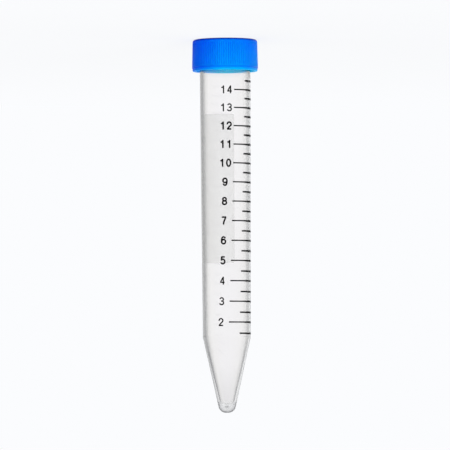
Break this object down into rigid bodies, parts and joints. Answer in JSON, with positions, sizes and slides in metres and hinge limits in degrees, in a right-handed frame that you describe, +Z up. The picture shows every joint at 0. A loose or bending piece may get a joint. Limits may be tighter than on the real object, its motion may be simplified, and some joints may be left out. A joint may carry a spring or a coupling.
{
  "type": "conical centrifuge tube",
  "caption": "Clear plastic centrifuge tube with a conical end, a printed volume scale and a ribbed blue screw cap, standing on the cap with its tip up.",
  "frame": {"origin": "on the ground under the middle of the cap's flat top, on which the closed tube stands", "axes": "+Z up along the tube, from the cap towards the tip; the scale faces -Y, and +X is to the right when looking at the scale from -Y with the tip up"},
  "size_m": [0.0212, 0.0212, 0.12],
  "materials": {
    "clear_plastic": "clear, smooth moulded polypropylene",
    "blue_plastic": "satin, ribbed moulded polyethylene"
  },
  "bodies": {
    "cap": {"cap": "blue_plastic"},
    "tube": {"tube": "clear_plastic"}
  },
  "joints": [
    {"name": "tube_lift", "type": "slide", "parent": "cap", "child": "tube", "axis": [0, 0, 1], "range_m": [0, 0.025]}
  ]
}
